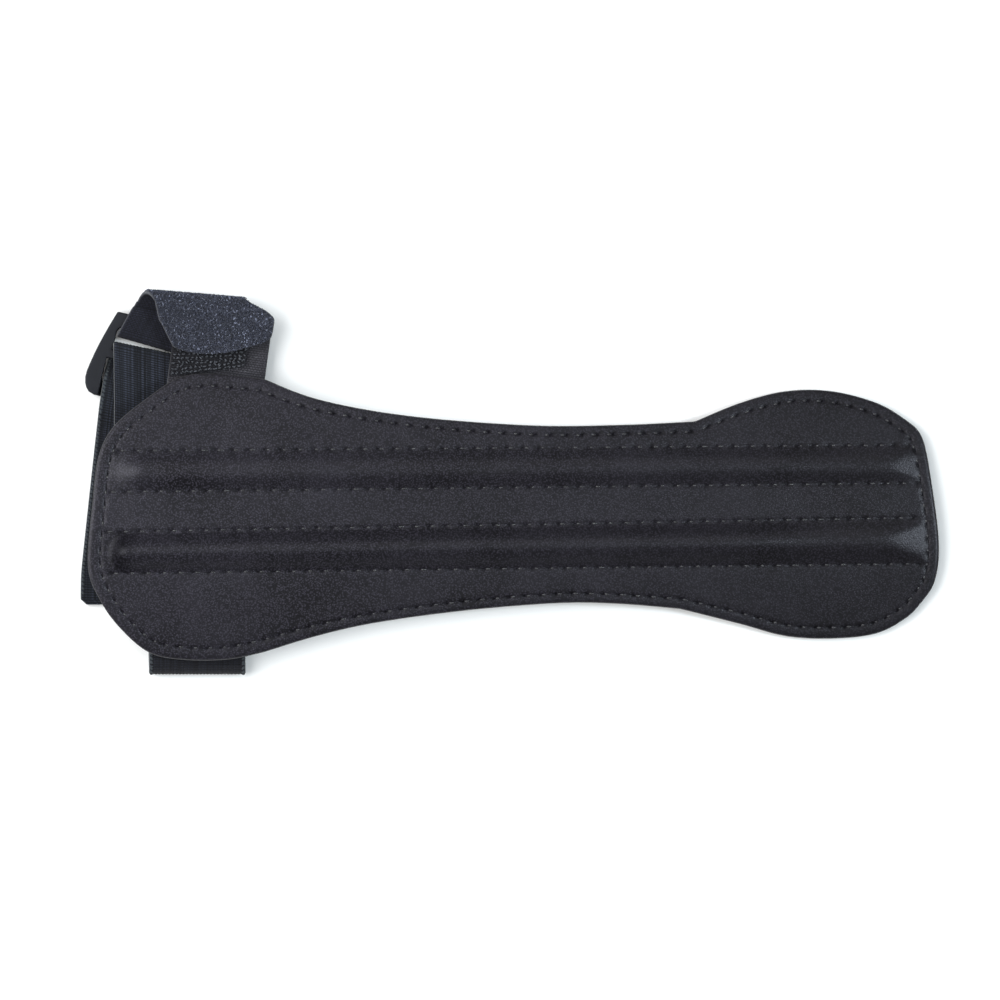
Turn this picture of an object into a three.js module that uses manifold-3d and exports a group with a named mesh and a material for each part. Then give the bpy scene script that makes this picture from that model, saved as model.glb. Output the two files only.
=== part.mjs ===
// Forearm guard for sport: a leather panel with two sewn ribs, lying on its folded strap.
// Millimetres, +Z up. X runs from the elbow end to the wrist end, Y across the arm.

import * as THREE from 'three';
import { LoftGeometry } from 'three/addons/geometries/LoftGeometry.js';
import { mergeVertices } from 'three/addons/utils/BufferGeometryUtils.js';
import Module from 'manifold-3d';

const wasm = await Module();
wasm.setup();

// Driving dimensions of the panel
const CROWN_RADIUS = 180; // how the panel arches across the arm
const ELBOW_X = -80; // where the elbow end rests on its strap
const ELBOW_RIDGE = 10.8; // underside of the ridge there, above the floor
const BACK_THICK = 1;
const FACE_THICK = 1.3;
const GAP = 0.3; // between pieces that touch
const PANEL_REACH = 113; // the panel's sheets before they are cut to the outline
const SHEET_HALF_WIDTH = 40;
const CUTTER = { low: -10, high: 30 }; // heights of the prism that cuts the sheets
const EDGE_ROWS = 4; // stretches from a rib to the sheet's edge
const BACK_ROWS = 16; // stretches across the back

// Ribs: each lies between two sewn rows, given by their Y at the elbow and at the wrist
const ROW_X = 100; // the rows' Y is read at this distance either side of the middle
const RIB_HEIGHT = 3;
const RIB_MARGIN = 0.7; // flat leather between a sewn row and the foot of its rib
const RIB_STEPS = 8;
const RIBS = [
  { elbowTop: 16.6, elbowBottom: 6.0, wristTop: 18.1, wristBottom: 8.2 },
  { elbowTop: -4.3, elbowBottom: -15.1, wristTop: -0.8, wristBottom: -12.7 },
];
// How far up the ribs stand along the panel, as a share of their height
const RIB_RISE = [
  { x: -104, share: 0 },
  { x: -102, share: 0.22 },
  { x: -99.5, share: 0.68 },
  { x: -97, share: 0.94 },
  { x: -94, share: 1 },
  { x: 90, share: 1 },
  { x: 94.5, share: 0.93 },
  { x: 98.5, share: 0.68 },
  { x: 102.5, share: 0.25 },
  { x: 106, share: 0 },
];

// Straps
const WEBBING = 25;
const ELASTIC_THICK = 1.3;
const CLOSURE_THICK = 1.2;
const TAB_THICK = 1.1;
const TAB_YAW = -7.8; // the tab leans towards the wrist
const HOOK_THICK = 0.85;
const HOOK_WIDTH = 19.8;
const FLAP_BULGE = 3.8; // how far the flap's round end passes its straight sides
const TIP_SHARES = [0.35, 0.62, 0.82, 0.94, 0.99]; // sections along that round end
const BEND_STEPS = 5;

// Slider, in its own axes: l runs along its bars and s across them, from its upper left corner
const SLIDER_CORNER = { x: -102.6, y: 52.7 };
const BAR_YAW = -13.8;
const FOLD_YAW = -11.8; // the elastic's fold above the middle bar
const LOOP_YAW = -14.5; // the closure's loop below the upper bar
const SLIDER_TOP_LENGTH = 28;
const SLIDER_DEPTH = 22.4;
const SLIDER_FLARE = 0.2174; // how far each side leans out for each mm across
const SLIDER_ROUND = 6; // the lower corners
const SLIDER_TIP_ROUND = 0.8; // the upper corners
const UPPER_SLOT = { from: 3.5, to: 9.9, fromEnd: 1, toEnd: 0.35 }; // ends set in from the top's
const LOWER_SLOT = { from: 13.3, to: 18.4, fromEnd: 0.1, toEnd: 0.1 };
const FOOT_FROM = 15; // the lower bar and its two feet sit below the rest
const FRAME_LOW = 1.6;
const FRAME_HIGH = 3.4;
const FOOT_HIGH = 1.7;
const OVERCUT = 1; // how far a cut passes the faces that it opens

// Outline of the panel, four smooth runs that meet at the notches beside the wrist lobe
// and at the shoulders of the elbow lobe
const OUTLINE = {
  upperWaist: [
    { x: -64.7, y: 35.2 },
    { x: -50.2, y: 29.8 },
    { x: -26.9, y: 25.6 },
    { x: 4.1, y: 23.2 },
    { x: 27.4, y: 23.3 },
    { x: 46.8, y: 24.2 },
  ],
  wristLobe: [
    { x: 46.8, y: 24.2 },
    { x: 58.5, y: 29 },
    { x: 70.1, y: 32 },
    { x: 81.8, y: 32.1 },
    { x: 93.4, y: 29.2 },
    { x: 101.2, y: 24.8 },
    { x: 105.6, y: 20.2 },
    { x: 107.9, y: 9.8 },
    { x: 110, y: -7 },
    { x: 109, y: -16.9 },
    { x: 105.6, y: -22.5 },
    { x: 101.2, y: -26.9 },
    { x: 93.4, y: -30.8 },
    { x: 81.8, y: -32 },
    { x: 70.1, y: -31.3 },
    { x: 58.5, y: -28.2 },
    { x: 43, y: -24.3 },
  ],
  lowerWaist: [
    { x: 43, y: -24.3 },
    { x: 27.4, y: -23 },
    { x: 11.9, y: -22.8 },
    { x: -11.4, y: -24.6 },
    { x: -34.7, y: -27.7 },
    { x: -50.2, y: -31.1 },
    { x: -64.7, y: -35.5 },
  ],
  elbowLobe: [
    { x: -64.7, y: -35.5 },
    { x: -74, y: -37.4 },
    { x: -85.1, y: -37.5 },
    { x: -94.2, y: -35.7 },
    { x: -101.7, y: -29.5 },
    { x: -107.1, y: -22 },
    { x: -110.2, y: -13.2 },
    { x: -109, y: 3.4 },
    { x: -107.4, y: 15.4 },
    { x: -103.2, y: 23.3 },
    { x: -94.2, y: 30.8 },
    { x: -86.5, y: 35.6 },
    { x: -78, y: 36.6 },
    { x: -64.7, y: 35.2 },
  ],
};
const OUTLINE_STEPS = 4; // chords for each stretch between two outline points

// The panel slopes down from the elbow until the wrist lobe's edges touch the floor
const PANEL_SLOPE = Math.max(
  ...panelOutline()
    .getPoints()
    .filter(({ x }) => x > 0)
    .map(({ x, y }) => (archDrop(y) - ELBOW_RIDGE) / (x - ELBOW_X)),
);

// Routes of the straps: the middle of the strap at each bend, from one end to the other.
// yaw turns the strap's crosswise direction from +X, roll tips it, and bend is the round's reach.
const ELASTIC_ROUTE = [
  { ...sewnUnder(-82, -22, 0, ELASTIC_THICK), width: WEBBING, bend: 0 },
  { ...sewnUnder(-82, -36, 0, ELASTIC_THICK), width: WEBBING, bend: 3 },
  { x: -82, y: -40.65, z: 5.3, yaw: 0, roll: 0, width: WEBBING, bend: 2.1 },
  { x: -82, y: -40.65, z: 0.68, yaw: 0, roll: 0, width: WEBBING, bend: 2.1 },
  { x: -82.4, y: -32, z: 0.68, yaw: -4, roll: 0, width: WEBBING, bend: 4 },
  { x: -83.6, y: -24.6, z: 2.5, yaw: -8, roll: 0, width: WEBBING, bend: 3 },
  { x: -90.4, y: 12, z: 2.5, yaw: -6, roll: 0, width: WEBBING, bend: 6 },
  { x: -91.1, y: 19.4, z: 2.5, yaw: -10, roll: 0, width: 25.2, bend: 2.5 },
  { x: -91.2, y: 26.4, z: 4.35, yaw: BAR_YAW, roll: 0, width: 25.4, bend: 2 },
  { x: -91.3, y: 41.48, z: 4.4, yaw: FOLD_YAW, roll: 0, width: 25.4, bend: 1.8 },
  { x: -91.5, y: 41.48, z: 0.65, yaw: FOLD_YAW, roll: 0, width: 25.4, bend: 1.8 },
  { x: -93.4, y: 35.2, z: 0.65, yaw: BAR_YAW, roll: 0, width: 25.4, bend: 1 },
  { x: -94, y: 32.4, z: 2.7, yaw: BAR_YAW, roll: 0, width: 25.4, bend: 1 },
  { x: -95, y: 26, z: 2.7, yaw: BAR_YAW, roll: 0, width: 25.4, bend: 1.6 },
  { x: -95.7, y: 20.4, z: 0.65, yaw: -10, roll: 0, width: 25.2, bend: 2 },
  { x: -99.7, y: -15.5, z: 0.65, yaw: -3, roll: 0, width: WEBBING, bend: 3 },
  { x: -99.8, y: -23.2, z: 0.65, yaw: 0, roll: 0, width: WEBBING, bend: 0 },
];
const CLOSURE_ROUTE = [
  { x: -85.1, y: 52.5, z: 1.55, yaw: -8, roll: 0, width: 25.6, bend: 0 },
  { x: -86.9, y: 49.4, z: 0.6, yaw: -12, roll: 0, width: 25.4, bend: 1.2 },
  { x: -90.4, y: 43.57, z: 0.6, yaw: LOOP_YAW, roll: 0, width: 25.2, bend: 1.8 },
  { x: -90.4, y: 43.57, z: 4.35, yaw: LOOP_YAW, roll: 0, width: 25.2, bend: 1.8 },
  { x: -86.3, y: 50.4, z: 4.35, yaw: -11, roll: 0, width: 26.4, bend: 1.2 },
  { x: -84.9, y: 52.7, z: 3.1, yaw: -6, roll: 0, width: 27, bend: 1.2 },
  { x: -83, y: 56.6, z: 3.1, yaw: -4.7, roll: 0, width: 26.8, bend: 2.7 },
  { x: -81, y: 56.5, z: 8.95, yaw: -4.7, roll: 0, width: 26.8, bend: 2.7 },
  { x: -77.6, y: 51, z: 8.95, yaw: 6, roll: 0, width: 27.6, bend: 1 },
  { x: -75, y: 46.3, z: 8.95, yaw: 11, roll: 0, width: 27.2, bend: 0 },
];
const TAB_ROUTE = [
  { ...sewnUnder(-78.3, 26, TAB_YAW, TAB_THICK), width: WEBBING, bend: 0 },
  { ...sewnUnder(-76.9, 36.6, TAB_YAW, TAB_THICK), width: WEBBING, bend: 0.6 },
  { x: -76.3, y: 41, z: 5.92, yaw: TAB_YAW, roll: 0, width: WEBBING, bend: 2 },
  { x: -74.9, y: 51, z: 5.92, yaw: TAB_YAW, roll: 0, width: WEBBING, bend: 0 },
];
const HOOK_ROUTE = [
  { x: -79.6, y: 37.15, z: 7.93, yaw: 7.5, roll: 0, width: HOOK_WIDTH, bend: 0 },
  { x: -77.7, y: 50, z: 7.3, yaw: TAB_YAW, roll: 0, width: HOOK_WIDTH, bend: 0 },
];

const LEATHER = { color: 0x2c2b30, roughness: 0.62, metalness: 0 };
const BACKING = { color: 0x232327, roughness: 0.8, metalness: 0 };
const WEAVE = { color: 0x24262c, roughness: 0.85, metalness: 0 };
const LOOP_PILE = { color: 0x363a44, roughness: 0.95, metalness: 0 };
const PLASTIC = { color: 0x1f2124, roughness: 0.4, metalness: 0 };

function solidOf(geometry) {
  const bare = new THREE.BufferGeometry();
  bare.setAttribute('position', geometry.attributes.position);
  bare.setIndex(geometry.index);
  const merged = mergeVertices(bare, 1e-4);
  const mesh = new wasm.Mesh({
    numProp: 3,
    vertProperties: Float32Array.from(merged.attributes.position.array),
    triVerts: Uint32Array.from(merged.index.array),
  });
  return new wasm.Manifold(mesh);
}

function geometryOf(solid) {
  const { vertProperties, triVerts } = solid.getMesh();
  const geometry = new THREE.BufferGeometry();
  geometry.setAttribute('position', new THREE.BufferAttribute(vertProperties, 3));
  geometry.setIndex(new THREE.BufferAttribute(triVerts, 1));
  geometry.computeVertexNormals();
  return geometry;
}

function piece(name, geometry, finish) {
  const mesh = new THREE.Mesh(geometry, new THREE.MeshStandardMaterial(finish));
  mesh.name = name;
  return mesh;
}

// How far the panel's arch falls from its ridge, across the arm
function archDrop(y) {
  return y ** 2 / (2 * CROWN_RADIUS);
}

// Height of the panel's underside
function undersideAt(x, y) {
  return ELBOW_RIDGE + (x - ELBOW_X) * PANEL_SLOPE - archDrop(y);
}

// Place and tip of the middle of a strap that is sewn to the panel's underside
function sewnUnder(x, y, yaw, thick) {
  const turn = THREE.MathUtils.degToRad(yaw);
  const tip = PANEL_SLOPE * Math.cos(turn) - (y / CROWN_RADIUS) * Math.sin(turn);
  const z = undersideAt(x, y) - GAP - thick / 2;
  return { x, y, z, yaw, roll: THREE.MathUtils.radToDeg(Math.atan(tip)) };
}

function panelOutline() {
  const points = Object.values(OUTLINE).flatMap((run) => {
    const curve = new THREE.SplineCurve(run.map(({ x, y }) => new THREE.Vector2(x, y)));
    return curve.getPoints((run.length - 1) * OUTLINE_STEPS).slice(0, -1);
  });
  return new THREE.Shape(points);
}

// A sheet lofted along X through sections whose floor and roof are given, cut to the outline
function panelSheet(stations, acrossAt, floorAt, roofAt) {
  const sections = stations.map((station) => {
    const across = acrossAt(station);
    const roof = across.map((row) => new THREE.Vector3(station.x, row.y, roofAt(station, row)));
    const floor = across.map((row) => new THREE.Vector3(station.x, row.y, floorAt(station, row)));
    return [...floor, ...roof.reverse()];
  });
  const loft = new LoftGeometry(sections, { capStart: true, capEnd: true });
  return geometryOf(solidOf(loft).intersect(slab(panelOutline(), CUTTER.low, CUTTER.high)));
}

// Y of the rows across the face, with the share of a rib's height that each one stands at
function faceRows({ x }) {
  const edge = { y: SHEET_HALF_WIDTH, lift: 0 };
  const along = THREE.MathUtils.mapLinear(x, -ROW_X, ROW_X, 0, 1);
  const ribs = RIBS.map((rib) => {
    const top = THREE.MathUtils.lerp(rib.elbowTop, rib.wristTop, along) - RIB_MARGIN;
    const bottom = THREE.MathUtils.lerp(rib.elbowBottom, rib.wristBottom, along) + RIB_MARGIN;
    return Array.from({ length: RIB_STEPS + 1 }, (_, step) => {
      const turn = (step / RIB_STEPS) * 2 * Math.PI;
      return {
        y: THREE.MathUtils.lerp(top, bottom, step / RIB_STEPS),
        lift: (1 - Math.cos(turn)) / 2,
      };
    });
  });
  const outer = [edge, ...spread(edge.y, ribs[0][0].y, EDGE_ROWS)];
  const lower = [...spread(ribs[1][RIB_STEPS].y, -edge.y, EDGE_ROWS), { ...edge, y: -edge.y }];
  return [...outer, ...ribs.flat(), ...lower].reverse();
}

function spread(from, to, count) {
  return Array.from({ length: count - 1 }, (_, i) => ({
    y: THREE.MathUtils.lerp(from, to, (i + 1) / count),
    lift: 0,
  }));
}

function backRows() {
  const edge = SHEET_HALF_WIDTH;
  return [{ y: -edge }, ...spread(-edge, edge, BACK_ROWS), { y: edge }];
}

function facePanel() {
  const ends = [{ x: -PANEL_REACH, share: 0 }, ...RIB_RISE, { x: PANEL_REACH, share: 0 }];
  const floorAt = ({ x, share }, { y, lift }) =>
    undersideAt(x, y) + BACK_THICK + GAP + RIB_HEIGHT * share * lift;
  const roofAt = (station, row) => floorAt(station, row) + FACE_THICK;
  return piece('face_panel', panelSheet(ends, faceRows, floorAt, roofAt), LEATHER);
}

function backPanel() {
  const ends = [{ x: -PANEL_REACH }, { x: PANEL_REACH }];
  const floorAt = ({ x }, { y }) => undersideAt(x, y);
  const roofAt = (station, row) => floorAt(station, row) + BACK_THICK;
  return piece('back_panel', panelSheet(ends, backRows, floorAt, roofAt), BACKING);
}

// Points down the middle of a strap: straight runs with a round at every bend
function strapPath(route) {
  const at = route.map(({ x, y, z }) => new THREE.Vector3(x, y, z));
  const path = [{ point: at[0], ...pick(route[0]) }];
  for (let i = 1; i < route.length - 1; i += 1) {
    const before = at[i].clone().lerp(at[i - 1], route[i].bend / at[i].distanceTo(at[i - 1]));
    const after = at[i].clone().lerp(at[i + 1], route[i].bend / at[i].distanceTo(at[i + 1]));
    const round = new THREE.QuadraticBezierCurve3(before, at[i], after);
    path.push(...round.getPoints(BEND_STEPS).map((point) => ({ point, ...pick(route[i]) })));
  }
  path.push({ point: at[at.length - 1], ...pick(route[route.length - 1]) });
  return path;
}

function pick({ yaw, roll, width }) {
  return { yaw: THREE.MathUtils.degToRad(yaw), roll: THREE.MathUtils.degToRad(roll), width };
}

// The flap's end narrows to a round tip past the end of its route
function roundEnd(path, reach) {
  const last = path[path.length - 1];
  const ahead = last.point.clone().sub(path[path.length - 2].point).normalize();
  return TIP_SHARES.map((share) => ({
    ...last,
    point: last.point.clone().addScaledVector(ahead, reach * share),
    width: last.width * Math.sqrt(1 - share ** 2),
  }));
}

// A strap lofted along its path, with a flat rectangular section square to the path
function strap(path, thick) {
  const sections = path.map(({ point, yaw, roll, width }, i) => {
    const before = path[Math.max(i - 1, 0)].point;
    const after = path[Math.min(i + 1, path.length - 1)].point;
    const ahead = after.clone().sub(before).normalize();
    const across = new THREE.Vector3(Math.cos(yaw), Math.sin(yaw), Math.tan(roll)).normalize();
    const up = across.clone().cross(ahead).normalize().multiplyScalar(thick / 2);
    across.multiplyScalar(width / 2);
    return [
      point.clone().sub(across).sub(up),
      point.clone().sub(across).add(up),
      point.clone().add(across).add(up),
      point.clone().add(across).sub(up),
    ];
  });
  return new LoftGeometry(sections, { capStart: true, capEnd: true });
}

function closureStrap() {
  const path = strapPath(CLOSURE_ROUTE);
  const whole = [...path, ...roundEnd(path, FLAP_BULGE)];
  return piece('closure_strap', strap(whole, CLOSURE_THICK), LOOP_PILE);
}

// Corners of a shape across the slider whose two ends are set in by these amounts
function acrossSlider(from, to, fromEnd, toEnd) {
  return [
    new THREE.Vector2(fromEnd, -from),
    new THREE.Vector2(toEnd, -to),
    new THREE.Vector2(SLIDER_TOP_LENGTH - toEnd, -to),
    new THREE.Vector2(SLIDER_TOP_LENGTH - fromEnd, -from),
  ];
}

// A closed shape with each corner rounded by a curve that starts and ends at its reach
function roundedShape(corners, reaches) {
  const shape = new THREE.Shape();
  corners.forEach((corner, i) => {
    const before = corners[(i + corners.length - 1) % corners.length];
    const after = corners[(i + 1) % corners.length];
    const start = corner.clone().lerp(before, reaches[i] / corner.distanceTo(before));
    const end = corner.clone().lerp(after, reaches[i] / corner.distanceTo(after));
    if (i === 0) shape.moveTo(start.x, start.y);
    else shape.lineTo(start.x, start.y);
    shape.quadraticCurveTo(corner.x, corner.y, end.x, end.y);
  });
  shape.closePath();
  return shape;
}

function slab(shape, low, high) {
  const geometry = new THREE.ExtrudeGeometry(shape, {
    depth: high - low,
    bevelEnabled: false,
    curveSegments: BEND_STEPS,
  });
  return solidOf(geometry.translate(0, 0, low));
}

function sliderPiece() {
  const rounds = [SLIDER_TIP_ROUND, SLIDER_ROUND, SLIDER_ROUND, SLIDER_TIP_ROUND];
  const spread = -SLIDER_DEPTH * SLIDER_FLARE;
  const outline = roundedShape(acrossSlider(0, SLIDER_DEPTH, 0, spread), rounds);
  const beyond = spread - OVERCUT;
  const cut = ({ from, to, fromEnd, toEnd }) =>
    slab(new THREE.Shape(acrossSlider(from, to, fromEnd, toEnd)), -OVERCUT, FRAME_HIGH + OVERCUT);
  const frame = slab(outline, FRAME_LOW, FRAME_HIGH)
    .subtract(cut(UPPER_SLOT))
    .subtract(cut({ ...LOWER_SLOT, to: SLIDER_DEPTH + OVERCUT }));
  const foot = slab(outline, 0, FOOT_HIGH)
    .subtract(cut({ from: -OVERCUT, to: FOOT_FROM, fromEnd: beyond, toEnd: beyond }))
    .subtract(cut(LOWER_SLOT));
  const mesh = piece('slider', geometryOf(frame.add(foot)), PLASTIC);
  mesh.position.set(SLIDER_CORNER.x, SLIDER_CORNER.y, 0);
  mesh.rotation.z = THREE.MathUtils.degToRad(BAR_YAW);
  return mesh;
}

const guard = new THREE.Group();
guard.add(
  facePanel(),
  backPanel(),
  piece('elastic_strap', strap(strapPath(ELASTIC_ROUTE), ELASTIC_THICK), WEAVE),
  sliderPiece(),
  closureStrap(),
  piece('hook_tab', strap(strapPath(TAB_ROUTE), TAB_THICK), WEAVE),
  piece('hook_patch', strap(strapPath(HOOK_ROUTE), HOOK_THICK), LOOP_PILE),
);

// The origin is the middle of the whole guard's footprint, on the floor
guard.updateMatrixWorld(true);
const box = new THREE.Box3().setFromObject(guard, true);
const middle = box.getCenter(new THREE.Vector3());
guard.position.set(-middle.x, -middle.y, -box.min.z);

export default guard;
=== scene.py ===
import bpy
import random
from collections import namedtuple
from math import atan, ceil, cos, degrees, exp, hypot, pi, radians, sin, sqrt, tan, tau
from mathutils import Matrix, Vector, noise
from mathutils.kdtree import KDTree


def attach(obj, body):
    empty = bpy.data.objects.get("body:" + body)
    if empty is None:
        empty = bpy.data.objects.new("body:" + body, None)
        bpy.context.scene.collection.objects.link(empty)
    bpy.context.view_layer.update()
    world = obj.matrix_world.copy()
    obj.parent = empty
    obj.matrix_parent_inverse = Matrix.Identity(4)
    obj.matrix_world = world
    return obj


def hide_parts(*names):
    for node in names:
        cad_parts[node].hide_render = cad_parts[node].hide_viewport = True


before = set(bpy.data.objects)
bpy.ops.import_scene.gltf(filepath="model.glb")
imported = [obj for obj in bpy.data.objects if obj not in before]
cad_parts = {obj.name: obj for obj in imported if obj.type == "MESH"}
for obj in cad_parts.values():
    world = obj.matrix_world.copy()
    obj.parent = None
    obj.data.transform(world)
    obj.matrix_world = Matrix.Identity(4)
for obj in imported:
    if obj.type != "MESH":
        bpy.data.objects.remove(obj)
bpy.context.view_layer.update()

mm = 0.001
panelShift = Vector((1.13, -8.48, 0))  # from the panel's own middle to the object's origin, in mm


def placed(x, y, z):
    return (Vector((x, y, z)) + panelShift) * mm


def makeActive(piece):
    bpy.ops.object.select_all(action="DESELECT")
    piece.select_set(True)
    bpy.context.view_layer.objects.active = piece


def nameActive(name):
    piece = bpy.context.object
    piece.name = name
    piece.data.name = name
    return piece


def startEdit():
    bpy.ops.object.mode_set(mode="EDIT")
    bpy.ops.mesh.select_mode(type="FACE")
    bpy.ops.mesh.select_all(action="SELECT")


def finishEdit():
    bpy.ops.mesh.select_all(action="SELECT")
    bpy.ops.mesh.normals_make_consistent()
    bpy.ops.object.mode_set(mode="OBJECT")


def finishWith(piece, kind, **settings):
    makeActive(piece)
    modifier = piece.modifiers.new(kind.lower(), kind)
    for key, value in settings.items():
        setattr(modifier, key, value)
    bpy.ops.object.modifier_apply(modifier=modifier.name)


def smoothShade(piece, angle):
    makeActive(piece)
    bpy.ops.object.shade_smooth_by_angle(angle=radians(angle))


def hand(piece, slotName, material, *nodes):
    piece.data.materials.append(material)
    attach(piece, "root")
    if nodes:
        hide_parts(*nodes)


def ease(t):
    t = min(max(t, 0), 1)
    return t * t * (3 - 2 * t)


def dropOf(away, width):
    return exp(-((away / width) ** 2))


def stepsTo(start, step, end):
    return [start + i * step for i in range(ceil((end - start) / step))]


def layCopies(name, template, places, angle, slotName, material):  # one piece of many copies
    base = [vertex.co.copy() for vertex in template.data.vertices]
    faces = [tuple(face.vertices) for face in template.data.polygons]
    points, polygons = [], []
    for place in places:
        first = len(points)
        points.extend(place @ co for co in base)
        polygons.extend(tuple(first + i for i in face) for face in faces)
    mesh = bpy.data.meshes.new(name)
    mesh.from_pydata(points, [], polygons)
    piece = bpy.data.objects.new(name, mesh)
    bpy.context.scene.collection.objects.link(piece)
    bpy.data.objects.remove(template)
    smoothShade(piece, angle)
    hand(piece, slotName, material)
    return piece


# Materials

mixSockets = (0, 6, 7)  # the share and the two colours of a mix node
mixResult = 2


def feed(socket, value):
    if isinstance(value, bpy.types.NodeSocket):
        socket.id_data.links.new(value, socket)
    elif isinstance(value, tuple) and len(value) < len(socket.default_value):
        socket.default_value = (*value, 1)  # a colour without its alpha
    else:
        socket.default_value = value


def startMaterial(name, **sockets):
    material = bpy.data.materials.new(name)
    material.use_nodes = True
    shader = material.node_tree.nodes["Principled BSDF"]
    for socket, value in sockets.items():
        feed(shader.inputs[socket.replace("_", " ")], value)
    return material, shader


def addNode(beside, kind, sockets, **settings):
    node = beside.id_data.nodes.new(kind)
    for key, value in settings.items():
        setattr(node, key, value)
    for socket, value in sockets.items():
        feed(node.inputs[socket], value)
    return node.outputs


def coordinates(shader, source, scale=(1, 1, 1)):
    where = addNode(shader, "ShaderNodeTexCoord", {})[source]
    return addNode(shader, "ShaderNodeMapping", {"Vector": where, "Scale": scale})["Vector"]


def readAttribute(shader, name):
    return addNode(shader, "ShaderNodeAttribute", {}, attribute_name=name)["Fac"]


def noiseOn(vector, scale, detail=3, rough=0.6):
    return addNode(vector, "ShaderNodeTexNoise", {
        "Vector": vector, "Scale": scale, "Detail": detail, "Roughness": rough})["Fac"]


def rampOn(value, places, shades):
    result = addNode(value, "ShaderNodeValToRGB", {"Fac": value})["Color"]
    for element, at, shade in zip(result.node.color_ramp.elements, places, shades):
        element.position, element.color = at, (*shade, 1)
    return result


def greyRamp(value, low, high, first, last):
    return rampOn(value, (low, high), ((first,) * 3, (last,) * 3))


def blendColours(share, under, over, kind="MIX"):
    return addNode(under, "ShaderNodeMix", dict(zip(mixSockets, (share, under, over))),
                   data_type="RGBA", blend_type=kind)[mixResult]


def tintWhere(tone, colour, value, *stops):
    return blendColours(greyRamp(value, *stops), tone, colour)


def addUp(first, second, kind="ADD"):
    return addNode(first, "ShaderNodeMath", {0: first, 1: second}, operation=kind)[0]


def weigh(first, second, share):
    return addUp(addUp(first, share, "MULTIPLY"), addUp(second, 1 - share, "MULTIPLY"))


def finishMaterial(shader, tone, rough, heights):
    feed(shader.inputs["Base Color"], tone)
    feed(shader.inputs["Roughness"], rough)
    sockets = {}
    for height, depth in heights:  # each height from 0 to 1, its depth in metres
        sockets.update(Distance=depth, Height=height)
        sockets["Normal"] = addNode(shader, "ShaderNodeBump", sockets)["Normal"]
    feed(shader.inputs["Normal"], sockets["Normal"])


leatherLook = dict(  # stops are two places on a ramp and, where given, its two values
    dark=(0.0011, 0.00098, 0.0017), light=(0.035, 0.0325, 0.0445), toneStops=(0.34, 0.69),
    # hole is the colour of painted shade in needle holes, the seam's groove and the lower rib's end
    dust=(0.16, 0.16, 0.18), cutEdge=(0.04, 0.039, 0.041), hole=(0.0004, 0.0004, 0.0006),
    grain=0.00046, grainStops=(0.1, 0.62, 1, 0), grainDepth=0.00002,
    pore=0.0003, poreDepth=0.000016, mottle=0.00045, mottleShare=0.6,
    cloud=0.018, cloudStops=(0.35, 0.7, 0, 0.3),
    speck=0.0005, speckStops=(0.73, 0.8, 0, 0.4),
    shine=0.27, dullFrom=0.8, tint=(0.92, 0.91, 1.0), roughStops=(0.3, 0.7, 0.42, 0.31),
    # fade is painted light: the leather darkens towards the wrist
    length=0.222, fade=(1.0, 0.42), backLightness=0.8,
)


def leatherMaterial(name, lightness=1.0):
    look = leatherLook
    material, shader = startMaterial(name, Specular_IOR_Level=look["shine"], Specular_Tint=look["tint"])
    spot = coordinates(shader, "Object")
    cells = addNode(shader, "ShaderNodeTexVoronoi", {"Vector": spot, "Scale": 1 / look["grain"]})
    pebbles = greyRamp(cells["Distance"], *look["grainStops"])
    pores = noiseOn(spot, 1 / look["pore"], detail=4)
    cloud = noiseOn(spot, 1 / look["cloud"], detail=5)
    mottle = noiseOn(spot, 1 / look["mottle"])
    specks = noiseOn(spot, 1 / look["speck"], detail=2, rough=0.5)
    dark, light = (tuple(c * lightness for c in look[key]) for key in ("dark", "light"))
    tone = rampOn(weigh(mottle, pebbles, look["mottleShare"]), look["toneStops"], (dark, light))
    tone = tintWhere(tone, light, cloud, *look["cloudStops"])
    lengthwise = coordinates(shader, "Object", (1 / look["length"], 1, 1))
    along = addUp(addNode(shader, "ShaderNodeSeparateXYZ", {0: lengthwise})[0], 0.5)
    fade = greyRamp(along, 0, 1, *look["fade"])
    tone = blendColours(1.0, tone, fade, "MULTIPLY")  # painted light: paler towards the elbow, the end the stronger lamp falls on
    tone = tintWhere(tone, look["dust"], specks, *look["speckStops"])
    # the seam attribute is painted shade; it also lowers the specular there
    paintedShade = readAttribute(shader, "seam")
    tone = blendColours(paintedShade, tone, look["hole"])
    tone = blendColours(readAttribute(shader, "edge"), tone, look["cutEdge"])
    shine = greyRamp(paintedShade, 0, look["dullFrom"], look["shine"], 0)
    feed(shader.inputs["Specular IOR Level"], shine)
    finishMaterial(shader, tone, greyRamp(mottle, *look["roughStops"]),
                   [(pebbles, look["grainDepth"]), (pores, look["poreDepth"])])
    return material


threadLook = dict(
    colour=(0.014, 0.014, 0.017), toneStops=(0.3, 0.72), toneRange=(0.6, 1.8),
    twist=0.00025, depth=0.0001, rough=0.28,
)


def threadMaterial(name):
    look = threadLook
    material, shader = startMaterial(name, Specular_IOR_Level=0.55)
    strands = noiseOn(coordinates(shader, "Object"), 1 / look["twist"])
    tones = [tuple(c * share for c in look["colour"]) for share in look["toneRange"]]
    tone = rampOn(strands, look["toneStops"], tones)
    finishMaterial(shader, tone, look["rough"], [(strands, look["depth"])])
    return material


plainWeave = dict(  # what the woven looks share, unless they say otherwise
    patch=(0, 0, 0), selvedgeAndHighlight=(0.2, 0.21, 0.22), sheen=0.05, streak=0.0, lines=0.0, stagger=0.5,
    secondYarn=(0.72, 0.72, 0.72), weaveShare=0.6, toneStops=(0.15, 0.85), fuzz=0.00004,
    fuzzScale=3800, cloudScale=120, cloudStops=(0.35, 0.7, 0, 0.3), pickWave=0.314,
    lineStops=(0.15, 0.75), streakScale=(1500, 12, 1), streakStops=(0.4, 0.6), speckScale=1900,
    speckFrom=0.64, speckSpan=0.08, speckShare=0.6, roughStops=(0.3, 0.7, 0.92, 0.7),
)


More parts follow.
